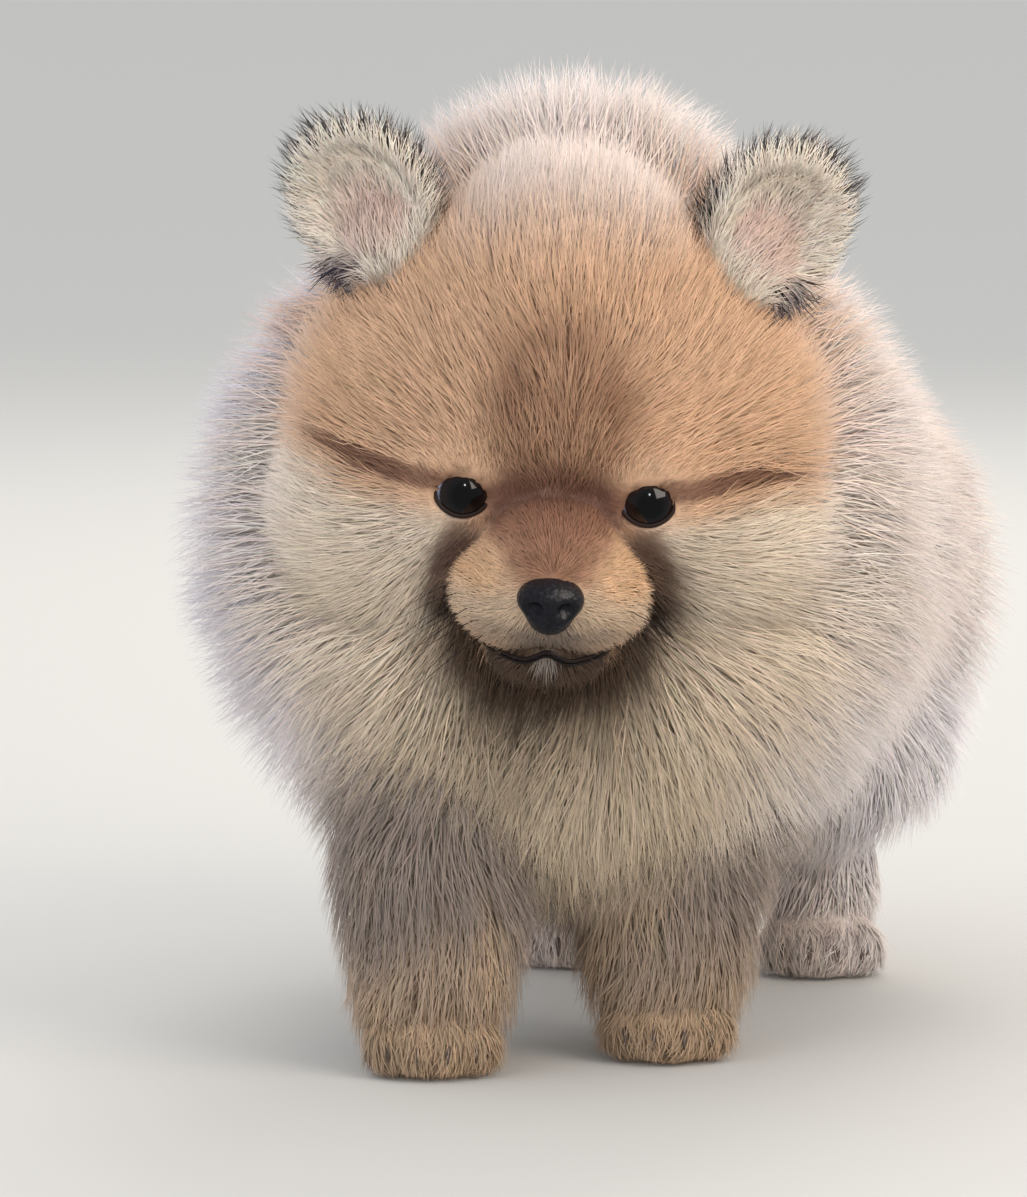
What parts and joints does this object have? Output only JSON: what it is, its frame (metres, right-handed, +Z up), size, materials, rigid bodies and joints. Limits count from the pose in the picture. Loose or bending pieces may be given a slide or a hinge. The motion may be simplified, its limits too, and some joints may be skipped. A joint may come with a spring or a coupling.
{
  "type": "pomeranian puppy",
  "caption": "Still, life-size model of a standing fluffy small dog with its head held low, resting on four flat paw soles.",
  "frame": {"origin": "on the floor, under the middle of the body's bounding box", "axes": "+Z up, the face looks along -Y, +X is the puppy's own left"},
  "size_m": [0.1734, 0.2428, 0.2064],
  "materials": {
    "coat": "dense double coat, cream and tan with darker tips",
    "short_fur": "short flat fur of the muzzle, tan with red-brown patches",
    "paw_fur": "short tan-brown fur of the paws",
    "nose_leather": "moist, finely pebbled black skin",
    "eye": "wet, very dark eye"
  },
  "bodies": {
    "root": {"eye_left": "eye", "eye_right": "eye", "nose": "nose_leather", "muzzle": "short_fur", "jaw": "short_fur", "ear_left": "coat", "ear_right": "coat", "head": "coat", "neck": "coat", "torso": "coat", "rump": "coat", "tail": "coat", "foreleg_left": "coat", "foreleg_right": "coat", "forepaw_left": "paw_fur", "forepaw_right": "paw_fur", "hindleg_left": "coat", "hindleg_right": "coat", "hindpaw_left": "paw_fur", "hindpaw_right": "paw_fur"}
  },
  "joints": []
}
